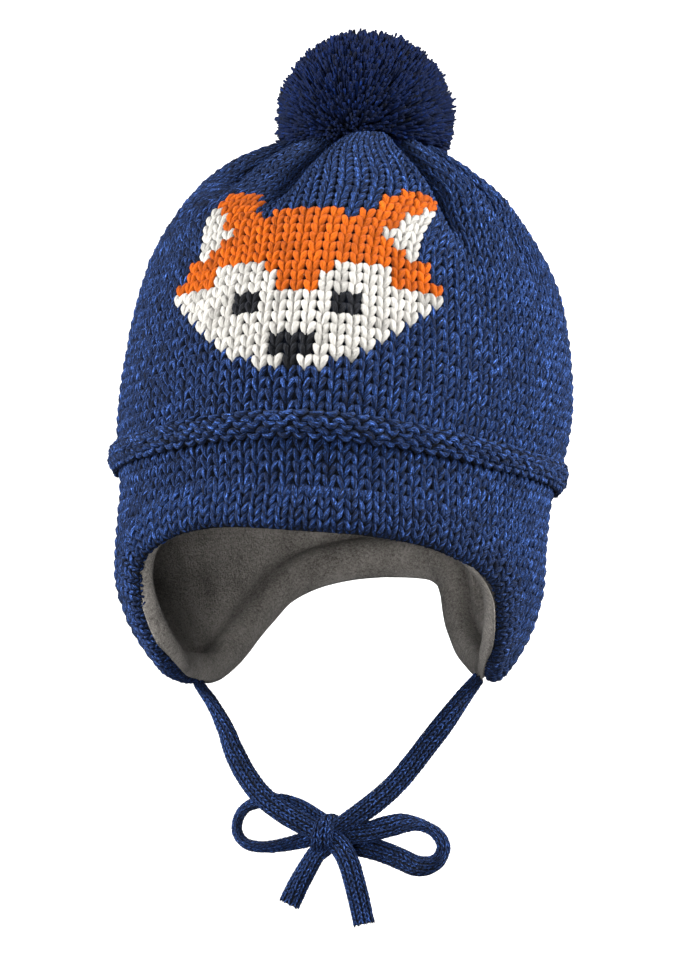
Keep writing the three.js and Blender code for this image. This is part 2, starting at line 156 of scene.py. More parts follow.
def smooth_point(angle, position):
    """A point of the surface without folds. Angle 0 is the front, and 90 the right ear."""
    angle, position = np.broadcast_arrays(np.asarray(angle, float), np.asarray(position, float))
    height, width, depth, x, y, fullness = np.moveaxis(spline(SECTIONS, position), -1, 0)
    turn = np.radians(angle)
    return np.stack([
        x + width * np.sin(turn) * (1 - fullness * np.cos(turn)),
        y - depth * np.cos(turn),
        height,
    ], -1)


def unit(vectors):
    return vectors / np.maximum(np.linalg.norm(vectors, axis=-1, keepdims=True), 1e-12)


def outward(angle, position):
    """The direction that points straight out of the smooth surface."""
    position = np.clip(position, 0.02, POLE - 0.05)
    across = smooth_point(np.add(angle, 0.5), position) - smooth_point(np.subtract(angle, 0.5), position)
    along = smooth_point(angle, position + 0.02) - smooth_point(angle, position - 0.02)
    return unit(np.cross(across, along))


def run_along(points):
    """The length of the way from the first point to each."""
    return np.concatenate([[0], np.cumsum(np.linalg.norm(np.diff(points, axis=0), axis=-1))])


def smoothstep(value, low, high):
    share = np.clip((value - low) / (high - low), 0, 1)
    return share * share * (3 - 2 * share)


def fold_depth(angle, position):
    """How far the folds draw the cloth in, less the puff of the cloth between them."""
    depth = -GORE_PUFF * smoothstep(position, *PUFF_RISE) * (1 - smoothstep(position, *PUFF_FADE))
    for top_angle, low_angle, low_height, fold, width in FOLDS:
        start = section_at(low_height)
        along = np.clip((position - start) / (FOLD_TOP - start), 0, 1)
        centre = low_angle + (top_angle - low_angle) * along
        off = np.mod(angle - centre + 180, 360) - 180
        rise = smoothstep(position, start - 0.5, start + FOLD_FULL)
        fall = 1 - smoothstep(position, *FOLD_FADE)
        reach = np.sqrt((off / width) ** 2 + FOLD_ROUNDING**2) - FOLD_ROUNDING
        depth = depth + fold * rise * fall * np.exp(-FOLD_STEEPNESS * reach)
    return depth


def skin(angle, position, out=0.0):
    """A point of the knitted surface, moved out by a number of millimetres."""
    angle, position = np.broadcast_arrays(np.asarray(angle, float), np.asarray(position, float))
    offset = out - fold_depth(angle, position)
    return smooth_point(angle, position) + outward(angle, position) * np.asarray(offset)[..., None]


WELT_AT_EARS = 24  # the height of its lower line over the ears
WELT_FRONT_RISE = 7
WELT_BACK_RISE = 4
WELT_LEFT_RISE = 3.2


def welt_line(angle):
    """The height of the welt's lower line: highest over the forehead, and pulled up on the left."""
    face = np.cos(np.radians(angle))
    left = np.maximum(0, -np.sin(np.radians(angle)))
    rise = np.where(face > 0, WELT_FRONT_RISE, WELT_BACK_RISE) * np.abs(face) ** 3
    return WELT_AT_EARS + rise + WELT_LEFT_RISE * left**3


def closed_loft(name, rings, poles=False):
    """A mesh through rings of points, given as an array of columns by rows. Without poles each column is a
    closed section, and with poles the first and the last row are single points."""
    columns, rows = rings.shape[:2]
    index = np.arange(columns * rows).reshape(columns, rows)
    after = np.roll(index, -1, axis=0)
    if poles:
        faces = np.stack([index[:, :-1], after[:, :-1], after[:, 1:], index[:, 1:]], -1)
    else:
        faces = np.stack([index, after, np.roll(after, -1, 1), np.roll(index, -1, 1)], -1)
    mesh = bpy.data.meshes.new(name)
    mesh.from_pydata((rings.reshape(-1, 3) * MM).tolist(), [], faces.reshape(-1, 4).tolist())
    made = bmesh.new()
    made.from_mesh(mesh)
    bmesh.ops.remove_doubles(made, verts=made.verts, dist=1e-6)
    made.to_mesh(mesh)
    made.free()
    mesh.polygons.foreach_set("use_smooth", [True] * len(mesh.polygons))
    mesh.validate()
    return mesh


def placed(name, mesh):
    piece = bpy.data.objects.new(name, mesh)
    bpy.context.collection.objects.link(piece)
    return piece


# Shader nodes are reached through this class
class Wire:
    """A shader socket in a tree. An expression on it adds Math nodes, and add() adds any other node."""

    def __init__(self, tree, socket=None):
        self.tree = tree
        self.socket = socket

    def add(self, kind, settings=None, inputs=None, output=0):
        node = self.tree.nodes.new(kind)
        for key, value in (settings or {}).items():
            setattr(node, key, value)
        for key, value in (inputs or {}).items():
            if isinstance(value, Wire):
                self.tree.links.new(value.socket, node.inputs[key])
            else:
                node.inputs[key].default_value = value
        return Wire(self.tree, node.outputs[output])

    def sum(self, operation, *values):
        return self.add("ShaderNodeMath", {"operation": operation}, dict(enumerate(values)))

    def __add__(self, other):
        return self.sum("ADD", self, other)

    __radd__ = __add__

    def __sub__(self, other):
        return self.sum("SUBTRACT", self, other)

    def __rsub__(self, other):
        return self.sum("SUBTRACT", other, self)

    def __mul__(self, other):
        return self.sum("MULTIPLY", self, other)

    __rmul__ = __mul__

    def mixed(self, low, high):
        """From the colour low to the colour high, by this value."""
        return self.add("ShaderNodeMix", {"data_type": "RGBA"}, {0: self, 6: low, 7: high}, 2)


def finish_named(name):
    """A new material and a Wire that adds nodes to it."""
    material = bpy.data.materials.new(name)
    material.use_nodes = True
    material.node_tree.nodes.clear()
    return material, Wire(material.node_tree)


def noise(start, scale, detail=2.0, roughness=0.5):
    """Noise about 0 on Object coordinates, with a scale in cells per metre."""
    place = start.add("ShaderNodeTexCoord", output=3)
    inputs = {"Vector": place, "Scale": scale, "Detail": detail, "Roughness": roughness}
    return start.add("ShaderNodeTexNoise", None, inputs) - 0.5


def dressed(start, colour, roughness, height, bump, sheen, tint=(1, 1, 1)):
    """The surface shader: a matt cloth with a soft tinted sheen and bump from a height in metres."""
    normal = start.add("ShaderNodeBump", None, {"Strength": bump, "Distance": 1.0, "Height": height})
    surface = start.add("ShaderNodeBsdfPrincipled", None, {
        "Base Color": colour, "Roughness": roughness, "Normal": normal,
        "Sheen Weight": sheen, "Sheen Roughness": 0.5, "Sheen Tint": (*tint, 1), "Specular IOR Level": 0.12,
    })
    output = start.tree.nodes.new("ShaderNodeOutputMaterial")
    start.tree.links.new(surface.socket, output.inputs["Surface"])


PLY_TURNS = 0.45  # turns of the plies over the length of a leg
FIBRES_ROUND = 2.0
FIBRES_LONG = 2.2
FIBRE_RANGE = 4000  # how much paler the palest fibre of marled wool is than the darkest
SPECKS = 1800
SIDE_PAINTED_SHADE = 0.12  # how much painted shade darkens a leg's sides and ends
MARL_PAINTED_SHADE = 0.36  # and how much more so in marled wool
PALE_FROM = 1.3
PALE_FIBRES = 0.0036


def yarn_finish():
    """Two plies of mixed fibres, twisted along each leg of a stitch. The leg brings its dye, whose fourth
    number says how marled it is, and its tone. Painted shade darkens the legs' sides and the ends that dive
    under the next stitch, and leaves their tops brightest."""
    material, start = finish_named("marled_wool")
    dye = start.add("ShaderNodeAttribute", {"attribute_name": "dye"}, output=0)
    marl = start.add("ShaderNodeAttribute", {"attribute_name": "dye"}, output=3)
    tone = start.add("ShaderNodeAttribute", {"attribute_name": "tone"}, output=2)
    uv = start.add("ShaderNodeUVMap", {"uv_map": "UVMap"})
    length = start.add("ShaderNodeSeparateXYZ", None, {0: uv})
    girth = start.add("ShaderNodeSeparateXYZ", None, {0: uv}, 1)
    turn = (girth + length * PLY_TURNS) * (2 * pi)
    fibre_place = start.add("ShaderNodeCombineXYZ", None, {
        0: start.sum("COSINE", turn) * FIBRES_ROUND, 1: start.sum("SINE", turn) * FIBRES_ROUND,
        2: length * FIBRES_LONG + tone * 47})
    fibres = start.add("ShaderNodeTexNoise", None, {
        "Vector": fibre_place, "Scale": 1.0, "Detail": 3.0}) - 0.5
    ply = start.sum("COSINE", turn * 2)
    specks = noise(start, SPECKS, 2.0, 0.6)
    marled = start.sum("POWER", FIBRE_RANGE, (fibres + specks * 0.6 + ply * 0.03) * marl)
    # painted shade: each leg is brightest along its top and darker at its sides, underside and ends, less so
    # in unmarled wool
    dark = marl * MARL_PAINTED_SHADE + SIDE_PAINTED_SHADE
    crest_painted_shade = start.sum("SINE", girth * (2 * pi)) * dark + (1 - dark)
    end = start.sum("POWER", start.sum("MAXIMUM", start.sum("SINE", length * pi), 0.02), dark * 1.4)
    marl_and_painted_shade = start.sum("MAXIMUM", tone * marled * crest_painted_shade * end, 0.03)
    scaled = start.add("ShaderNodeVectorMath", {"operation": "SCALE"}, {0: dye, "Scale": marl_and_painted_shade})
    pale = start.sum("MAXIMUM", marled - PALE_FROM, 0) * marl * tone * PALE_FIBRES
    scaled = start.add("ShaderNodeVectorMath", {"operation": "ADD"}, {0: scaled, 1: pale})
    height = (ply * 0.14 + fibres * 1.1 + specks * 0.35) * MM
    dressed(start, scaled, 0.85, height, 1.0, 0.03, (0.45, 0.62, 1.0))
    return material


MARLED = yarn_finish()
# dyes: red, green, blue and how marled
DENIM = (0.0044, 0.0148, 0.057, 1.0)
ORANGE = (0.385, 0.071, 0.0002, 0.12)
CREAM = (0.415, 0.40, 0.37, 0.05)
BLACK = (0.006, 0.006, 0.007, 0.6)


def turned(across, along, out):
    """Quaternions, w first, of the rotations whose columns are the three unit vectors."""
    m00, m10, m20 = np.moveaxis(across, -1, 0)
    m01, m11, m21 = np.moveaxis(along, -1, 0)
    m02, m12, m22 = np.moveaxis(out, -1, 0)
    w = np.sqrt(np.maximum(1e-12, 1 + m00 + m11 + m22)) / 2
    x = np.copysign(np.sqrt(np.maximum(0, 1 + m00 - m11 - m22)) / 2, m21 - m12)
    y = np.copysign(np.sqrt(np.maximum(0, 1 - m00 + m11 - m22)) / 2, m02 - m20)
    z = np.copysign(np.sqrt(np.maximum(0, 1 - m00 - m11 + m22)) / 2, m10 - m01)
    return unit(np.stack([w, x, y, z], -1))


def spindle(name, sides, stations):
    """A closed spindle along Y, 1 long and 1 wide, through stations of place, radius, bend and lift."""
    points = [(stations[0][2], stations[0][0], stations[0][3])]
    for place, radius, bend, lift in stations[1:-1]:
        for k in range(sides):
            turn = 2 * pi * (k + 0.5) / sides
            points.append((bend + radius * cos(turn), place, lift + radius * sin(turn)))
    points.append((stations[-1][2], stations[-1][0], stations[-1][3]))
    faces = []
    uvs = []
    rows = len(stations) - 2
    ring = [1 + sides * r for r in range(rows)]
    for k in range(sides):
        after = (k + 1) % sides
        v, w = k / sides, (k + 1) / sides
        faces.append((0, ring[0] + k, ring[0] + after))
        uvs.append(((0, v), (1 / (rows + 1), v), (1 / (rows + 1), w)))
        for r in range(rows - 1):
            u0, u1 = (r + 1) / (rows + 1), (r + 2) / (rows + 1)
            faces.append((ring[r] + k, ring[r + 1] + k, ring[r + 1] + after, ring[r] + after))
            uvs.append(((u0, v), (u1, v), (u1, w), (u0, w)))
        u = rows / (rows + 1)
        faces.append((ring[-1] + k, len(points) - 1, ring[-1] + after))
        uvs.append(((u, v), (1, v), (u, w)))
    mesh = bpy.data.meshes.new(name)
    mesh.from_pydata(points, [], faces)
    layer = mesh.uv_layers.new(name="UVMap")
    layer.data.foreach_set("uv", [value for face in uvs for corner in face for value in corner])
    mesh.polygons.foreach_set("use_smooth", [True] * len(mesh.polygons))
    return bpy.data.objects.new(name, mesh)


YARN_LEG = spindle("yarn_leg", 6, (
    (-0.50, 0, 0, -0.62), (-0.37, 0.28, 0, -0.30), (-0.13, 0.44, 0, -0.02), (0.13, 0.52, 0, 0.05),
    (0.36, 0.43, 0, -0.16), (0.50, 0, 0, -0.60),
))


def laying_tree():
    """Lays a bit of yarn on every station, turned and sized as it says, over an optional backing."""
    tree = bpy.data.node_groups.new("laid_yarn", "GeometryNodeTree")
    sockets = (("Stations", "Geometry"), ("Bit", "Object"), ("Backing", "Object"), ("Finish", "Material"))
    for name, kind in sockets:
        tree.interface.new_socket(name, in_out="INPUT", socket_type="NodeSocket" + kind)
    tree.interface.new_socket("Piece", in_out="OUTPUT", socket_type="NodeSocketGeometry")

    def node(kind, settings=None, inputs=None):
        made = tree.nodes.new(kind)
        for key, value in (settings or {}).items():
            setattr(made, key, value)
        for key, value in (inputs or {}).items():
            if isinstance(value, bpy.types.NodeSocket):
                tree.links.new(value, made.inputs[key])
            else:
                made.inputs[key].default_value = value
        return made.outputs

    given = node("NodeGroupInput")
    turn = node("GeometryNodeInputNamedAttribute", {"data_type": "QUATERNION"}, {"Name": "turn"})
    size = node("GeometryNodeInputNamedAttribute", {"data_type": "FLOAT_VECTOR"}, {"Name": "size"})
    bit = node("GeometryNodeObjectInfo", None, {"Object": given["Bit"]})
    backing = node("GeometryNodeObjectInfo", None, {"Object": given["Backing"]})
    laid = node("GeometryNodeInstanceOnPoints", None, {
        "Points": given["Stations"], "Instance": bit["Geometry"], "Rotation": turn[0], "Scale": size[0]})
    join = tree.nodes.new("GeometryNodeJoinGeometry")
    tree.links.new(backing["Geometry"], join.inputs[0])
    tree.links.new(laid[0], join.inputs[0])
    real = node("GeometryNodeRealizeInstances", None, {"Geometry": join.outputs[0]})
    done = node("GeometryNodeSetMaterial", None, {"Geometry": real[0], "Material": given["Finish"]})
    out = tree.nodes.new("NodeGroupOutput")
    tree.links.new(done[0], out.inputs[0])
    return tree


LAYING = laying_tree()


def laid(name, bit, stations, finish, backing=None):
    """A plain mesh of bits of yarn on stations: arrays of point, across, along, out, size, dye and tone."""
    mesh = bpy.data.meshes.new(name + "_stations")
    count = len(stations["point"])
    mesh.vertices.add(count)
    mesh.vertices.foreach_set("co", (stations["point"] * MM).ravel())
    turns = turned(stations["across"], stations["along"], stations["out"])
    for label, kind, slot, values in (
        ("turn", "QUATERNION", "value", turns),
        ("size", "FLOAT_VECTOR", "vector", stations["size"] * MM),
        ("dye", "FLOAT_COLOR", "color", stations["dye"]),
        ("tone", "FLOAT", "value", stations["tone"]),
    ):
        mesh.attributes.new(label, kind, "POINT").data.foreach_set(slot, np.asarray(values, float).ravel())
    carrier = placed(name + "_carrier", mesh)
    modifier = carrier.modifiers.new("laid", "NODES")
    modifier.node_group = LAYING
    values = {"Bit": bit, "Backing": backing, "Finish": finish}
    for item in LAYING.interface.items_tree:
        if item.in_out == "INPUT" and item.name in values:
            modifier[item.identifier] = values[item.name]
    shown = carrier.evaluated_get(bpy.context.evaluated_depsgraph_get())
    made = bpy.data.meshes.new_from_object(shown)
    made.name = name
    for label in ("turn", "size"):
        if label in made.attributes:
            made.attributes.remove(made.attributes[label])
    bpy.data.objects.remove(carrier)
    if backing is not None:
        bpy.data.objects.remove(backing)
    return placed(name, made)


def painted(mesh, dye, tone):
    """Gives every point of a plain mesh one dye and tone."""
    count = len(mesh.vertices)
    mesh.attributes.new("dye", "FLOAT_COLOR", "POINT").data.foreach_set("color", [*dye[:3], 0] * count)
    mesh.attributes.new("tone", "FLOAT", "POINT").data.foreach_set("value", [tone] * count)
    if not mesh.uv_layers:
        mesh.uv_layers.new(name="UVMap")
    return mesh


PAINTED_SHADE_TONE = 0.10  # painted shade: the tone of what lies behind the stitches


def painted_shade_body(name, rings, poles=False):
    """The closed body that stands behind a piece's stitches and shows only in their gaps, painted dark as
    painted shade.
    """
    return placed(name, painted(closed_loft(name, rings, poles), DENIM, PAINTED_SHADE_TONE))


rng = np.random.default_rng(7)
LEG_SLANT = 0.29  # how far a leg leans out, as a share of the stitch's width
LEG_PLACE = 0.23  # how far its middle stands off the column's middle
LEG_REACH = 1.8  # its length, in heights of the stitch
LEG_BREADTH = 0.43  # its breadth, in widths of the stitch, which counts as no wider than WIDEST heights
WIDEST = 1.35
LEG_DEPTH = 1.05
FLUFF = 0.2  # how much thicker the unmarled wool is
SLANT_SPREAD = 0.04
PLACE_SPREAD = 0.024
TONE_SPREAD = 0.12
LEG_TONE_SPREAD = 0.03
HEAD_SIZE = np.array((0.62, 1.15, 0.4))  # a loop's head, in widths of the stitch
HEAD_BACK = 0.8
# painted shade on the loops' heads, which lie behind the legs
HEAD_PAINTED_SHADE = 0.8


def joined(parts):
    """Several sets of stations as one."""
    return {key: np.concatenate([part[key] for part in parts]) for key in parts[0]}


def stocking_stitches(grid, dyes=DENIM, keep=None, tone=1.0):
    """The legs of the V-shaped stitches between the closed rows of a grid of points."""
    low, high = grid[:-1], grid[1:]
    centre = (low + high) / 2
    along = high - low
    across = (np.roll(centre, -1, 1) - np.roll(centre, 1, 1)) / 2
    out = unit(np.cross(across, along))
    width = np.linalg.norm(across, axis=-1, keepdims=True)
    height = np.linalg.norm(along, axis=-1, keepdims=True)
    shape = centre.shape[:2]
    own_tone = tone + rng.normal(0, TONE_SPREAD, shape)
    dye = np.broadcast_to(np.asarray(dyes, float), (*shape, 4))
    keep = np.ones(shape, bool) if keep is None else keep
    parts = []
    for side in (-1, 1):
        slant = LEG_SLANT + rng.normal(0, SLANT_SPREAD, (*shape, 1))
        direction = unit(along + side * slant * across)
        sideways = np.cross(direction, out)
        fluff = 1 + FLUFF * (1 - dye[..., 3:])
        breadth = np.minimum(width, WIDEST * height) * LEG_BREADTH * fluff
        size = np.concatenate([breadth, height * LEG_REACH, breadth * LEG_DEPTH], -1)
        wobble = rng.normal(0, PLACE_SPREAD, (*shape, 3)) * width
        parts.append({
            "point": (centre + side * LEG_PLACE * across + wobble)[keep],
            "across": sideways[keep],
            "along": direction[keep],
            "out": np.cross(sideways, direction)[keep],
            "size": size[keep],
            "dye": dye[keep],
            "tone": (own_tone + rng.normal(0, LEG_TONE_SPREAD, shape))[keep],
        })
    return joined(parts)


def column_angles(position_of, crowding=FOLD_CROWDING):
    """Angles of the columns on one round, evenly spaced along the cloth, and crowded into its folds."""
    fine = FRONT + np.linspace(0, 360, 1441)
    position = position_of(fine)
    points = skin(fine, position)
    step = np.linalg.norm(np.diff(points, axis=0), axis=-1)
    fold = np.maximum(fold_depth(fine, position), 0)
    weight = step * (1 + crowding * (fold[1:] + fold[:-1]) / 2)
    run = np.concatenate([[0], np.cumsum(weight)])
    column = np.arange(STITCHES_ROUND) - STITCHES_ROUND // 2
    return np.interp(column % STITCHES_ROUND * run[-1] / STITCHES_ROUND, run, fine)


def fox_colour(column, row):
    """The chart of the face, by rules of shape: columns from the front's middle, rows from the chin."""
    side = np.abs(column)
    outline = np.interp(row, (0, 1, 3, 6, 7, 8, 9, 11, 18), (2.5, 4.5, 6.5, 9.6, 10.6, 10.6, 9.6, 8.6, 8.2))
    brow = 14.6 + 1.2 * np.cos(np.minimum(side / 3.2, 1) * pi / 2)
    ear = np.minimum(14.2 + (side - 3) * 1.5, 18)
    inside = (row >= 0) & (side <= outline) & (row <= np.where(side < 3, brow, ear))
    mask = 7.4 + 2.2 * np.sqrt(np.maximum(0, 1 - ((side - 4.4) / 2.6) ** 2)) - 1.0 * (side < 2)
    cheek = inside & (row < mask)
    inner_ear = inside & (row > 10) & (row < 17) & (side > 5.7 + 0.55 * np.abs(row - 13.4))
    eye = (np.abs(side - 3.5) < 1) & (np.abs(row - 5.5) < 1)
    nose = (row >= 0) & (row <= 2) & (side <= np.where(row == 0, 0, 1))
    colour = np.zeros((*column.shape, 4)) + DENIM
    colour[inside] = ORANGE
    colour[cheek | inner_ear] = CREAM
    colour[eye | nose] = BLACK
    return colour


def loops_behind(grid, dyes, keep):
    """The heads of the loops, which lie across the back and show in the gaps between dyed legs, darkened by
    painted shade.
    """
    head = grid[1:]
    across = (np.roll(head, -1, 1) - np.roll(head, 1, 1)) / 2
    out = unit(np.cross(across, grid[1:] - grid[:-1]))
    width = np.linalg.norm(across, axis=-1, keepdims=True)
    along = across / width
    upwards = np.cross(along, out)
    return {
        "point": (head - HEAD_BACK * out)[keep], "across": upwards[keep], "along": along[keep],
        "out": np.cross(upwards, along)[keep], "size": (width * HEAD_SIZE)[keep], "dye": dyes[keep],
        "tone": np.full(keep.sum(), HEAD_PAINTED_SHADE),
    }


HIGHEST_ROUND = 16.9  # as a position in SECTIONS
FIRST_ROUND = 8.0  # the first round starts behind the welt
CHIN_ROW = 4


def crown_grid():
    """The corners of the crown's stitches, a row for each round."""
    start = section_at(welt_line(0) + FIRST_ROUND)
    fine = np.linspace(0, 1, 400)
    run = run_along(smooth_point(0, start + (HIGHEST_ROUND - start) * fine))
    rounds = int(run[-1] / STITCH_HEIGHT)
    shares = np.interp(np.arange(rounds + 1) * run[-1] / rounds, run, fine)
    rows = []
    for share in shares:
        def position_of(angle, share=share):
            low = section_at(welt_line(angle) + FIRST_ROUND)
            return low + (HIGHEST_ROUND - low) * share
        angles = column_angles(position_of)
        rows.append(skin(angles, position_of(angles), STITCH_OUT))
    return np.stack(rows)


SECTORS = 4  # the crown's stitches are laid in four pieces
crown_corners = crown_grid()
crown_rows = len(crown_corners) - 1
column_numbers = np.arange(STITCHES_ROUND) - STITCHES_ROUND // 2
chart_rows, chart_columns = np.meshgrid(np.arange(crown_rows) - CHIN_ROW, column_numbers, indexing="ij")
crown_dyes = fox_colour(chart_columns, chart_rows)
for sector in range(SECTORS):
    share = (np.arange(STITCHES_ROUND) + STITCHES_ROUND // (2 * SECTORS)) % STITCHES_ROUND
    mine = np.broadcast_to(share * SECTORS // STITCHES_ROUND == sector, (crown_rows, STITCHES_ROUND))
    legs = stocking_stitches(crown_corners, crown_dyes, mine)
    heads = loops_behind(crown_corners, crown_dyes, mine & (crown_dyes != np.array(DENIM)).any(-1))
    crown_knit = laid(f"crown_stitches_{sector}", YARN_LEG, joined([legs, heads]), MARLED)
    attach(crown_knit, "root")
    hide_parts("crown")

# The backing of the stitches: the strands that run behind them, painted dark as painted shade
BACKING_OUT = -1.7
backing_angles = np.linspace(0, 360, 145)[:-1]
columns = []
for angle in backing_angles:
    low = section_at(welt_line(angle) + WELT_HEIGHT + GAP)
    places = low + (POLE - low) * np.linspace(0, 1, 40)
    outer = skin(angle, places, BACKING_OUT)
    inner = skin(angle, places[::-1], -KNIT)
    outer[-1] = skin(0, POLE, BACKING_OUT)
    inner[0] = skin(0, POLE, -KNIT)
    columns.append(np.concatenate([inner, outer]))
crown_backing = painted_shade_body("crown_backing", np.stack(columns), True)
crown_backing.data.materials.append(MARLED)
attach(crown_backing, "root")
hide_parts("crown")


# The welt
# A ridge between the crown and the brim: a few rounds of purl that roll outwards and stand proud of the
# cloth above and below. Purl shows the yarn's bumps, which lie along the rounds.

# height over the welt's lower line, and how far out
WELT_ROLL = (
    (0.15, -KNIT), (0.15, -1.6), (0.9, 0.2), (3.0, 1.6),
    (6.6, 1.6), (9.0, 0.3), (9.85, -1.4), (9.85, -KNIT),
)
PURL_ARCS = 5
PURL_LOW = 0.9
PURL_STEP = 1.8
PURL_ROLL = 3.3  # how far the roll carries its middle rows out, from PURL_SINK inside the skin
PURL_SINK = 0.9
ROLL_LOW = 2.2  # the roll's curve starts this far below the welt
ROLL_SPAN = WELT_HEIGHT + 3.4
ROLL_FULLNESS = 0.7
PURL_LEAN = 0.8  # how far the lowest and the highest rows lean down and up
PURL_SIZE = np.array((0.44, 1.16, 0.44))  # an arc, in widths of the stitch
PURL_SLANTS = (0.12, 0.14)  # the mean and the spread of an arc's slant
PURL_PLACES = 0.16


def on_skin(angle, height, out=0.0):
    return skin(angle, section_at(height), out)


welt_angles = np.linspace(0, 360, 181)[:-1]
welt_low = welt_line(welt_angles)
sections = np.stack([on_skin(welt_angles, welt_low + lift, out) for lift, out in WELT_ROLL], 1)
welt_backing = painted_shade_body("welt_backing", sections)


PURL_ARC = spindle("purl_arc", 6, (
    (-0.50, 0, -0.42, -0.60), (-0.36, 0.40, -0.26, -0.24), (-0.13, 0.50, 0.12, 0.04),
    (0.13, 0.50, 0.12, 0.04), (0.36, 0.40, -0.26, -0.24), (0.50, 0, -0.42, -0.60),
))


def purl_bumps():
    """Each purl stitch shows the head of one loop over the feet of the next, half a stitch apart."""
    parts = []
    for number in range(PURL_ARCS):
        lift = PURL_LOW + number * PURL_STEP
        out = PURL_ROLL * sin(pi * (lift + ROLL_LOW) / ROLL_SPAN) ** ROLL_FULLNESS - PURL_SINK

        def position_of(angle, lift=lift):
            return section_at(welt_line(angle) + lift)
        angles = column_angles(position_of, 0)
        ahead_angles = angles + np.mod(np.roll(angles, -1) - angles, 360)
        angles = angles + (ahead_angles - angles) * (0.5 * (number % 2))
        here = skin(angles, position_of(angles), out)
        across = (np.roll(here, -1, 0) - np.roll(here, 1, 0)) / 2
        width = np.linalg.norm(across, axis=-1, keepdims=True)
        plain = outward(angles, position_of(angles))
        rise = unit(np.cross(plain, across))
        lean = np.interp(lift, (0, WELT_HEIGHT / 2, WELT_HEIGHT), (-PURL_LEAN, 0, PURL_LEAN))
        out_way = unit(plain + lean * rise)
        sense = 1 if number % 2 else -1
        along = unit(across / width * -sense + rng.normal(*PURL_SLANTS, (len(angles), 1)) * rise)
        sideways = unit(np.cross(along, out_way))
        parts.append({
            "point": here + rng.normal(0, PURL_PLACES, here.shape), "across": sideways, "along": along,
            "out": np.cross(sideways, along), "size": width * PURL_SIZE,
            "dye": np.tile(DENIM, (len(angles), 1)), "tone": 1.0 + rng.normal(0, TONE_SPREAD, len(angles)),
        })
    return joined(parts)


welt = laid("welt_purl", PURL_ARC, purl_bumps(), MARLED, welt_backing)
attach(welt, "root")
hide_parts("welt")


# The brim band and its two ear flaps
# Stocking stitch that continues the crown's columns below the welt, shaped into a flap over each ear.

# angle and height of the rim, round the head
RIM = np.array([
    (5, -0.3), (22, -1.6), (38, -4.6), (52, -11), (61, -18), (67.5, -27), (74, -36), (81, -42.8),
    (93, -46), (108, -46.4), (124, -44.6), (138, -40), (147, -33), (152.2, -24.5), (154.6, -16), (156, -9),
    (158.4, -4), (163, -1.2), (169, -0.1), (175, 0.2), (182, 0.1), (192, -1.4), (202, -5), (210.5, -11.4),
    (217, -21.5), (226, -36), (236.5, -44), (255, -47.6), (278, -48), (293.5, -46), (302.2, -40.2),
    (306.5, -30), (310.5, -18.5), (314.8, -8.5), (323, -3.4), (333, 0), (346, 1.2),
])
EDGE_BAND = 14.0


def rim_stations(count):
    """Places along the rim at equal steps: their angle, height, point and the way straight off the rim."""
    turn = np.array([360, 0])
    table = np.concatenate([RIM[-2:] - turn, RIM, RIM[:3] + turn])
    rows = 2 + np.linspace(0, len(RIM), len(RIM) * 24 + 1)

    def point_of(row):
        place = spline(table, row)
        return smooth_point(place[..., 0], section_at(place[..., 1]))

    run = run_along(point_of(rows))
    chosen = np.interp(np.arange(count) * run[-1] / count, run, rows)
    along = unit(point_of(chosen + 0.2) - point_of(chosen - 0.2))
    place = spline(table, chosen)
    angle, height = place[..., 0], place[..., 1]
    away = unit(np.cross(outward(angle, section_at(height)), along))
    return {"angle": angle, "height": height, "point": point_of(chosen), "away": away}


def from_rim(stations, distance):
    """The angles and heights reached by going a distance over the surface straight away from the rim."""
    goal = stations["point"] + stations["away"] * np.reshape(distance, (-1, 1))
    section = spline(SECTIONS, section_at(goal[..., 2]))
    turn = np.arctan2((goal[..., 0] - section[..., 3]) / section[..., 1],
                      -(goal[..., 1] - section[..., 4]) / section[..., 2])
    angle = np.degrees(turn)
    angle = angle + 360 * np.round((stations["angle"] - angle) / 360)
    return angle, goal[..., 2]


BRIM_ROWS = 19
LOWEST_ROW = -50
BRIM_CENTRE = -4  # the brim's middle along Y, and its half width and half depth
BRIM_HALVES = (75, 88)
BRIM_LAP = 1.5  # how far the brim's stitches run on under the edge band
FLAP_LAP = 3.2  # and on the flaps, below FLAP_TOP
FLAP_TOP = -20
rim_line = rim_stations(720)
rows = []
for row in range(BRIM_ROWS):
    def position_of(angle, row=row):
        return section_at(np.maximum(welt_line(angle) - GAP - row * STITCH_HEIGHT, LOWEST_ROW))
    angles = column_angles(position_of, 0)
    rows.append(skin(angles, position_of(angles), STITCH_OUT))
brim_corners = np.stack(rows[::-1])
brim_centres = (brim_corners[1:] + brim_corners[:-1]) / 2
to_rim = np.stack([
    np.linalg.norm(rim_line["point"][:, None] - line[None], axis=-1).min(0) for line in brim_centres])
low_line = np.interp(
    np.degrees(np.arctan2(brim_centres[..., 0] / BRIM_HALVES[0],
                          -(brim_centres[..., 1] - BRIM_CENTRE) / BRIM_HALVES[1])) % 360,
    np.concatenate([RIM[-1:, 0] - 360, RIM[:, 0], RIM[:1, 0] + 360]),
    np.concatenate([RIM[-1:, 1], RIM[:, 1], RIM[:1, 1]]))
above = brim_centres[..., 2] > low_line
lap = np.where(brim_centres[..., 2] < FLAP_TOP, FLAP_LAP, BRIM_LAP)
brim_keep = (to_rim > EDGE_BAND - lap) & above
stations = rim_stations(264)


def up_to_welt(stations, low_angle, low_height, count):
    """Angles and heights in equal steps from a line over the rim up to the welt."""
    high_angle = stations["angle"]
    high_height = welt_line(high_angle) - GAP
    return [(low_angle + (high_angle - low_angle) * share, low_height + (high_height - low_height) * share)
            for share in np.linspace(0, 1, count)]


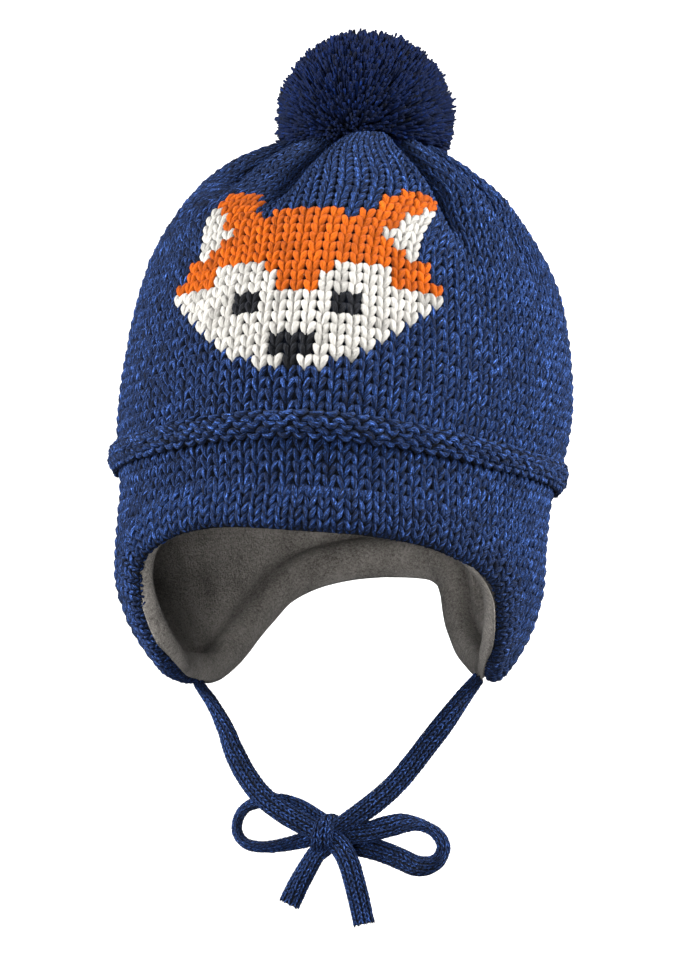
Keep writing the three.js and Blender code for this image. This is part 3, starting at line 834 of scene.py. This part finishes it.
places = up_to_welt(stations, *from_rim(stations, EDGE_BAND + GAP), 8)
shell = [on_skin(*place, -KNIT) for place in places[::-1]]
shell += [on_skin(*place, BACKING_OUT) for place in places]
brim_backing = painted_shade_body("brim_backing", np.stack(shell, 1))
brim_legs = stocking_stitches(brim_corners, DENIM, brim_keep)
brim = laid("brim_stitches", YARN_LEG, brim_legs, MARLED, brim_backing)
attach(brim, "root")
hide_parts("brim_band")


# The edge band
# Picked up along the brim and the flaps and knitted outwards, so its stitches stand square to the rim. Four
# of its rows show, and two more turn under.
edge = rim_stations(122)
# distance from the rim, height over the skin, and how much farther off where the hem wraps round the rim
EDGE_ROWS = (
    (15.8, -0.9, 0), (12.0, -0.4, 0), (8.2, -0.1, 0), (4.6, -0.1, 0.3), (1.5, -0.8, 0.9), (0.3, -2.5, 1.2),
    (1.1, -4.4, 1.2),
)
EDGE_SHELL = (
    (0, -KNIT, 1.4), (0.5, -2.0, 1.4), (1.4, -1.3, 1.2), (7, -0.9, 0), (EDGE_BAND, -1.5, 0),
    (EDGE_BAND, -KNIT, 0),
)


FOREHEAD = (40, 62)  # the angles over which it ends
TIP_HEIGHTS = (-44, -34)
TIP_HALVES = (-0.35, -0.1)  # the cosines of the angles between the flaps' back and front halves
BACK_TIP_ROOM = 1.2


def forehead(angle):
    """1 over the forehead, and 0 from the flaps backwards."""
    return 1 - smoothstep(np.abs(np.mod(angle + 180, 360) - 180), *FOREHEAD)


def flap_tips(stations, front_share, back_share):
    """The share given for the front halves of the flaps' tips or for their back halves, and 0 elsewhere."""
    tip = 1 - smoothstep(stations["height"], *TIP_HEIGHTS)
    front = smoothstep(np.cos(np.radians(stations["angle"])), *TIP_HALVES)
    return tip * (back_share + (front_share - back_share) * front)


def edge_lines(stations, table):
    """Lines of points along the rim, one for each row of a table like EDGE_ROWS."""
    wrapped = (1 - forehead(stations["angle"])) * (1 + flap_tips(stations, 0, BACK_TIP_ROOM))
    return [on_skin(*from_rim(stations, distance + room * wrapped), out) for distance, out, room in table]


edge_corners = np.stack(edge_lines(edge, EDGE_ROWS))[:, ::-1]
edge_backing = painted_shade_body("edge_backing", np.stack(edge_lines(stations, EDGE_SHELL), 1))
edge_band = laid("edge_stitches", YARN_LEG, stocking_stitches(edge_corners), MARLED, edge_backing)
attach(edge_band, "root")
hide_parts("edge_band")


# The fleece lining
# A thick grey melange fleece. Along the rim its edge is turned and stitched down as a padded hem, with a
# crease behind it, and above the hem the fleece lies flat against the knit.
# distance from the rim, thickness
HEM = (
    (-1.7, -2.2), (-1.65, 0.9), (-0.5, 3.2), (1.4, 5.2), (4.2, 6.6), (7, 7.0), (9.4, 6.4),
    (11.4, 4.8), (12.8, 2.2), (13.6, 1.2), (14.6, 1.8), (17, 2.9), (20, 3.2),
)
HEM_CREST = 5  # its row that stands highest
HEM_BACK = -0.7  # where its back meets the rim
HEM_RECESS = 3.2  # over the forehead the hem stays back behind the knitted rim
TIP_RECESS = 1.3  # and a little at the flaps' tips
TIP_TUCK = (0.8, 0.3)  # how far it is tucked in there, at the front and at the back
TUCK_FROM = 0.4  # rows of the hem thinner than this are drawn in behind the knit where it is tucked
# painted shade in the crease behind the hem: distances from the rim, and how bright the fleece is there
CREASE_PAINTED_SHADE = ((10.4, 12.4, 13.2, 14, 17), (1.0, 0.75, 0.5, 0.65, 1.0))
FLEECE = 2.4
fleece_columns = rim_stations(420)


def fleece_finish():
    material, start = finish_named("melange_fleece")
    cloud = noise(start, 70, 3.0)
    fibre = noise(start, 1000, 4.0, 0.7)
    speck = noise(start, 2400, 2.0, 0.7)
    # the tone attribute carries the painted shade of the hem's crease
    tone = start.add("ShaderNodeAttribute", {"attribute_name": "tone"}, output=2)
    mix = cloud * 1.3 + fibre * 2.2 + speck * 1.8 + 0.5
    colour = mix.mixed((0.080, 0.072, 0.064, 1), (0.315, 0.292, 0.266, 1))
    shaded = start.add("ShaderNodeVectorMath", {"operation": "SCALE"}, {0: colour, "Scale": tone})
    height = (fibre * 1.2 + speck * 0.6) * MM
    dressed(start, shaded, 0.97, height, 0.8, 0.12)
    return material


def lining_mesh():
    behind = -(KNIT + GAP)
    front = forehead(fleece_columns["angle"])
    tip = flap_tips(fleece_columns, *TIP_TUCK)
    tucked = np.maximum(front, tip)

    def place_at(distance):
        recess = (HEM_RECESS * front + TIP_RECESS * tip) * (1 - distance / HEM[-1][0])
        return from_rim(fleece_columns, distance - min(distance, 0) * tucked + recess)

    hem = [(place_at(distance), thickness) for distance, thickness in HEM]
    plain = up_to_welt(fleece_columns, *hem[-1][0], 9)[1:]
    inner = [on_skin(*place, behind - thickness + np.minimum(0, thickness - TUCK_FROM) * tucked)
             for place, thickness in hem]
    inner += [on_skin(*place, behind - FLEECE) for place in plain]
    backs = (place_at(HEM_BACK), hem[HEM_CREST][0], hem[-1][0])
    outer = [on_skin(*place, behind) for place in backs]
    outer += [on_skin(*place, behind) for place in plain]
    mesh = closed_loft("fleece_lining", np.stack(inner[::-1] + outer, 1))
    distances = np.array([distance for distance, _ in HEM])
    painted_crease_shade = np.interp(distances, *CREASE_PAINTED_SHADE)
    row_painted_shade = np.concatenate([np.ones(len(plain)), painted_crease_shade[::-1], np.ones(len(outer))])
    values = np.tile(row_painted_shade, len(front))
    mesh.attributes.new("tone", "FLOAT", "POINT").data.foreach_set("value", values)
    return mesh


lining = placed("fleece_lining", lining_mesh())
lining.data.materials.append(fleece_finish())
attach(lining, "root")
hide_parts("lining")


# The pompom
# Hundreds of turns of the navy wool, tied tightly round the middle, cut and trimmed to a ball. Each cut end
# opens into its fibres, and the whole is sewn down on the gather.
POMPOM_RADIUS = 32.0
POMPOM_CENTRE = np.array((4, 16, 160.0))
STRANDS = 8500
STRAND_BREADTHS = (0.75, 1.1)
STRAND_SHARE = 0.5  # of the way from the tip to the tie
TRIM = 0.995  # how far the strands reach, in radii
TRIM_SPREAD = 0.022
WAY_SPREAD = 0.05
STRAYS = 0.03  # the share of strands that were missed in trimming
STRAY_REACH = 1.03
REST_HEIGHTS = (0.4, 2.6)  # of the lowest tips over the crown
ROOT_HEIGHT = 1.5  # of the lowest strands' other ends
CORE_HEIGHT = 1.2
CORE_SHARE = 0.8
# painted shade: the core is darkened as the deep inside of the ball
CORE_PAINTED_SHADE = 0.2
NAVY = (0.0006, 0.0088, 0.060, 0.35)
NAVY_TONES = 0.32
TIE = POMPOM_CENTRE + (-2, -15, -11)  # the strands fan out from the tie, which has slipped low to the front


UNDER_POMPOM = 13  # the lowest section that the pompom can reach
TOP_FLATNESS = 0.93  # the crown's top is a little deeper than it is wide


def crown_top(x, y):
    """The height of the crown's top under the pompom."""
    gather = SECTIONS[POLE]
    distance = np.hypot(x - gather[3], (y - gather[4]) * TOP_FLATNESS)
    rows = SECTIONS[:UNDER_POMPOM - 1:-1]
    position = np.interp(distance, rows[:, 1], np.arange(POLE, UNDER_POMPOM - 1, -1))
    angle = np.degrees(np.arctan2(x - gather[3], gather[4] - y))
    return np.interp(distance, rows[:, 1], rows[:, 0]) - 0.8 * fold_depth(angle, position)


def pompom_strands():
    count = np.arange(STRANDS) + 0.5
    tilt = np.arccos(1 - 2 * count / STRANDS)
    turn = pi * (1 + 5**0.5) * count
    way = np.stack([np.cos(turn) * np.sin(tilt), np.sin(turn) * np.sin(tilt), np.cos(tilt)], -1)
    way = unit(way + rng.normal(0, WAY_SPREAD, way.shape))
    reach = POMPOM_RADIUS * (TRIM + rng.normal(0, TRIM_SPREAD, STRANDS))
    reach = np.where(rng.random(STRANDS) < STRAYS, reach * STRAY_REACH, reach)
    tip = POMPOM_CENTRE + way * reach[:, None]
    floor = crown_top(tip[:, 0], tip[:, 1]) + rng.uniform(*REST_HEIGHTS, STRANDS)
    tip[:, 2] = np.maximum(tip[:, 2], floor)
    root = tip + (TIE - tip) * STRAND_SHARE
    root[:, 2] = np.maximum(root[:, 2], crown_top(root[:, 0], root[:, 1]) + ROOT_HEIGHT)
    along = tip - root
    length = np.linalg.norm(along, axis=-1, keepdims=True)
    along = along / length
    across = unit(np.cross(along, unit(rng.normal(0, 1, way.shape))))
    thick = rng.uniform(*STRAND_BREADTHS, (STRANDS, 1))
    return {
        "point": (tip + root) / 2, "across": across, "along": along, "out": np.cross(across, along),
        "size": np.concatenate([thick, length, thick], -1), "dye": np.tile(NAVY, (STRANDS, 1)),
        "tone": 1.0 + rng.normal(0, NAVY_TONES, STRANDS),
    }


CUT_END = spindle("cut_end", 3, (
    (-0.5, 0, 0, 0), (-0.1, 0.34, 0.5, 0.1), (0.30, 0.50, 0.1, 0.0), (0.47, 0.62, 0.0, 0.0), (0.5, 0, 0, 0),
))


def core_mesh():
    made = bmesh.new()
    bmesh.ops.create_icosphere(made, subdivisions=4, radius=1)
    for vertex in made.verts:
        point = POMPOM_CENTRE + np.array(vertex.co) * POMPOM_RADIUS * CORE_SHARE
        point[2] = max(point[2], crown_top(point[0], point[1]) + CORE_HEIGHT)
        vertex.co = Vector(point * MM)
    mesh = bpy.data.meshes.new("pompom_core")
    made.to_mesh(mesh)
    made.free()
    return mesh


core = placed("pompom_core", painted(core_mesh(), NAVY, CORE_PAINTED_SHADE))
pompom = laid("pompom_strands", CUT_END, pompom_strands(), MARLED, core)
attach(pompom, "root")
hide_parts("pompom")


# The cords and the bow
# Two narrow knitted tubes, pressed flat, one sewn into the tip of each ear flap. Each runs down to the
# knot, round a loop of the bow and out again as a free end that is bound off square.
CORD_WIDTH = 8.2
CORD_THICKNESS = 4.0
CORD_YARN = 0.8  # the stitches' middles lie half of this inside the cord's outline
CORD_CORE = 0.92  # the body inside, painted dark as painted shade, as a share of the stitches' ring
CORD_COLUMNS = 9
CORD_STITCH = 1.9
CORD_TONE = 1.6

# the middle line of each, from the flap to the free end
LEFT_CORD = (
    (-52.9, 9.7, -44.0), (-50.6, 9.2, -47.8), (-46.3, 8.0, -53.2), (-40.8, 6.4, -62.3), (-37.2, 4.8, -70.2),
    (-32.6, 2.8, -78), (-26.2, 0.8, -85.7), (-18.4, 0.2, -91.7), (-9.9, 0.8, -96.4), (-3.6, 1.8, -99.2),
    (-0.4, 4.4, -99.4), (-2.2, 7.0, -97.4), (-6.6, 7.4, -94.8), (-13.1, 7.2, -91), (-20.1, 7, -88.6),
    (-27.1, 7.2, -88.2), (-32.5, 7.2, -90.4), (-35.2, 6.6, -94.4), (-35.4, 5.8, -99), (-32.8, 5, -102.8),
    (-28.1, 4.4, -104.4), (-20.8, 4, -104.2), (-12.8, 3.6, -102.6), (-6.2, 3.2, -100.6), (-1.4, 3.2, -99.9),
    (0.3, 3.0, -102.2), (-2.4, 2.6, -104.4), (-5.6, 2.2, -107), (-8.6, 2, -112), (-11.6, 2.2, -117.4),
    (-15.1, 2.8, -124.6),
)
RIGHT_CORD = (
    (50.6, 9.5, -43.2), (44.9, 8.2, -51.0), (39.3, 7, -59), (33.7, 6, -66.6), (28.1, 4.8, -74.4),
    (22.4, 3.2, -81.6), (16.1, 1.8, -87.7), (9.6, 1.2, -92.6), (4, 1.2, -96.2), (-1.6, 1.6, -99.0),
    (-3.8, 3.8, -100.4), (-1.2, 5.4, -100.4), (5.5, 5.0, -99.6), (12.7, 4.4, -98.6), (19.9, 4, -96.6),
    (26.6, 3.6, -95.4), (33.4, 3.4, -96.4), (38.2, 3.6, -99.4), (40, 4, -103.4), (38.6, 4.8, -107.4),
    (35, 5.8, -109.8), (29.8, 6.8, -110.2), (23.7, 7.8, -107.8), (17.1, 8.8, -105.4), (10.6, 9.6, -103.8),
    (4.4, 9.8, -103), (-1.6, 8.8, -102.0), (-4.0, 5.6, -100.9), (-1.8, 2.2, -100.8), (3.0, 0.4, -103.6),
    (6.6, -0.6, -109), (8.6, -0.6, -114.8), (10.7, 0, -122.7), (12.6, 0.8, -131.1),
)
# how far each is turned about its length: at these lengths along it, by these degrees
LEFT_TWIST = ((0, 11, 37, 91, 121, 141, 159, 193), (-80, -60, 0, 0, -80, -80, -50, 0))
RIGHT_TWIST = ((0, 10, 32, 58, 74, 108, 120, 134, 148, 218), (80, 55, 0, 10, 55, 0, 80, 70, 0, 0))


def route_points(route, step):
    """Points at equal steps on the smooth curve through a route, and their tangents."""
    table = np.array(route, float)
    rows = np.linspace(0, len(table) - 1, len(table) * 20)
    curve = spline(table, rows)
    run = run_along(curve)
    count = int(round(run[-1] / step))
    chosen = np.interp(np.linspace(0, run[-1], count + 1), run, rows)
    points = spline(table, chosen)
    tangent = unit(np.gradient(points, axis=0))
    return points, tangent, run[-1]


def flat_tube(points, tangent, side, width, thickness, twist=0.0):
    """Rings of points of a flat tube: its broad side lies along side, and twist turns it, in degrees."""
    side = unit(side - (side * tangent).sum(-1, keepdims=True) * tangent)
    face = np.cross(side, tangent)
    turn = np.radians(twist) * np.ones(len(points))
    broad = side * np.cos(turn)[:, None] + face * np.sin(turn)[:, None]
    thin = face * np.cos(turn)[:, None] - side * np.sin(turn)[:, None]
    round_it = 2 * pi * (np.arange(CORD_COLUMNS)[::-1] + 0.5) / CORD_COLUMNS
    return (points[:, None] + broad[:, None] * (np.cos(round_it) * width / 2)[None, :, None]
            + thin[:, None] * (np.sin(round_it) * thickness / 2)[None, :, None])


CORD_LEG = spindle("cord_leg", 4, (
    (-0.5, 0, 0, -0.4), (-0.2, 0.46, 0, 0), (0.2, 0.46, 0, 0), (0.5, 0, 0, -0.4),
))


def cord_piece(name, route, twist_table):
    """One knitted cord over its core, which is painted dark as painted shade, with the points it follows and
    its length in metres.
    """
    points, tangent, length = route_points(route, CORD_STITCH)
    side = np.cross(tangent, np.array((0, 1.0, 0)))
    twist = np.interp(np.linspace(0, length, len(points)), *twist_table)
    rings = flat_tube(points, tangent, side, CORD_WIDTH - CORD_YARN, CORD_THICKNESS - CORD_YARN, twist)
    centres = points[:, None]
    thin = centres + (rings - centres) * CORD_CORE
    first, last = (centres[end].repeat(CORD_COLUMNS, 0)[None] for end in (0, -1))
    core = painted_shade_body(name + "_core", np.concatenate([first, thin, last]).transpose(1, 0, 2), True)
    piece = laid(name, CORD_LEG, stocking_stitches(rings, tone=CORD_TONE), MARLED, core)
    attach(piece, "root")
    return piece, points * MM, length * MM


left_cord, left_path, left_length = cord_piece("left_cord", LEFT_CORD, LEFT_TWIST)
right_cord, right_path, right_length = cord_piece("right_cord", RIGHT_CORD, RIGHT_TWIST)
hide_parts("left_tie", "left_loop", "left_tail")
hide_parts("right_tie", "right_loop", "right_tail")

# The knot: one turn of cord wound over the crossing
KNOT_CENTRE = np.array((-2.6, 3.4, -99.6))
KNOT_LEAN = 0.9
KNOT_RADII = (5.3, 5.4)  # of the turn, from front to back and upwards
KNOT_BAND = (7.4, 3.0)  # the turn's width and thickness
KNOT_CORE = (3.9, 4.2, 5.6)
KNOT_SIDE = (1.0, 0, 0.25)  # the way that the turn's breadth lies
KNOT_STEPS = 18
turns = np.linspace(0, 2 * pi, KNOT_STEPS + 1)
wrap = KNOT_CENTRE + np.stack([
    KNOT_LEAN * np.sin(turns), -KNOT_RADII[0] * np.cos(turns), KNOT_RADII[1] * np.sin(turns)], -1)
wrap_tangent = unit(np.roll(wrap[:-1], -1, 0) - np.roll(wrap[:-1], 1, 0))
wrap_tangent = np.concatenate([wrap_tangent, wrap_tangent[:1]])
wrap_side = np.zeros_like(wrap) + np.array(KNOT_SIDE)
wrap_rings = flat_tube(wrap, wrap_tangent, wrap_side, *KNOT_BAND)
made = bmesh.new()
bmesh.ops.create_uvsphere(made, u_segments=20, v_segments=12, radius=1)
for vertex in made.verts:
    vertex.co = Vector((KNOT_CENTRE + np.array(vertex.co) * KNOT_CORE) * MM)
core_data = bpy.data.meshes.new("knot_core")
made.to_mesh(core_data)
made.free()
# the knot's core is painted dark as painted shade
knot_core = placed("knot_core", painted(core_data, DENIM, PAINTED_SHADE_TONE))
knot = laid("bow_knot_wrap", CORD_LEG, stocking_stitches(wrap_rings, tone=CORD_TONE), MARLED, knot_core)
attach(knot, "root")
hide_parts("bow_knot")


# The studio
# A pale seamless sweep of paper, well behind and below the hat, with a lamp of its own. Two soft lamps
# stand high on the left and the right and rake the knit, a weak one fills the front, and a low one opens the
# shadow under the brim. All of it is in metres.
FLOOR = -4.5
PAPER_HALF_WIDTH = 9
sweep = [
    (-6.0, FLOOR), (3.0, FLOOR), (4.6, FLOOR + 0.35), (5.4, FLOOR + 1.3), (5.6, FLOOR + 3.0), (5.6, 6.5),
]
paper_mesh = bpy.data.meshes.new("paper")
paper_points = [(x, y, z) for y, z in sweep for x in (-PAPER_HALF_WIDTH, PAPER_HALF_WIDTH)]
paper_faces = [(2 * k, 2 * k + 1, 2 * k + 3, 2 * k + 2) for k in range(len(sweep) - 1)]
paper_mesh.from_pydata(paper_points, [], paper_faces)
paper_mesh.polygons.foreach_set("use_smooth", [True] * len(paper_mesh.polygons))
paper = placed("paper", paper_mesh)
paper_material, start = finish_named("pale_paper")
grain = noise(start, 40, 2.0)
place = start.add("ShaderNodeSeparateXYZ", None, {0: start.add("ShaderNodeTexCoord", output=3)}, 1)
upright_part = place.add("ShaderNodeMapRange", {"interpolation_type": "SMOOTHSTEP"}, {
    "Value": place + grain * 0.02, "From Min": 2.8, "From Max": 4.8})
paper_colour = upright_part.mixed((0.42, 0.42, 0.42, 1), (0.92, 0.92, 0.92, 1))
dressed(start, paper_colour, 0.9, grain * 0.0001, 0.1, 0.0)
paper.data.materials.append(paper_material)


def lamp(name, place, towards, size, power):
    """A round soft lamp, with its size in metres and its power in watts."""
    data = bpy.data.lights.new(name, "AREA")
    data.shape = "DISK"
    data.size = size
    data.energy = power
    data.spread = radians(70)
    light = bpy.data.objects.new(name, data)
    light.location = place
    light.rotation_euler = (Vector(towards) - Vector(place)).to_track_quat("-Z", "Y").to_euler()
    bpy.context.collection.objects.link(light)


lamp("left_box", (-1.5, -0.8, 0.7), (0, 0, 0.04), 0.7, 15)
lamp("right_box", (1.65, 0.0, 0.7), (0, 0, 0.04), 0.7, 15.5)
lamp("front_box", (0.1, -1.8, 0.4), (0, 0, 0.0), 0.8, 3.2)
lamp("low_box", (0.12, -1.28, -0.42), (0.0, 0.06, 0.0), 0.4, 1.9)
lamp("paper_lamp", (0, 2.6, 3.6), (0, 5.6, 0.2), 3.0, 140)
world = bpy.data.worlds.new("studio")
bpy.context.scene.world = world
world.use_nodes = True
world.node_tree.nodes["Background"].inputs["Color"].default_value = (0.95, 0.97, 1.0, 1)
world.node_tree.nodes["Background"].inputs["Strength"].default_value = 0.18
bpy.context.scene.view_settings.view_transform = "Standard"
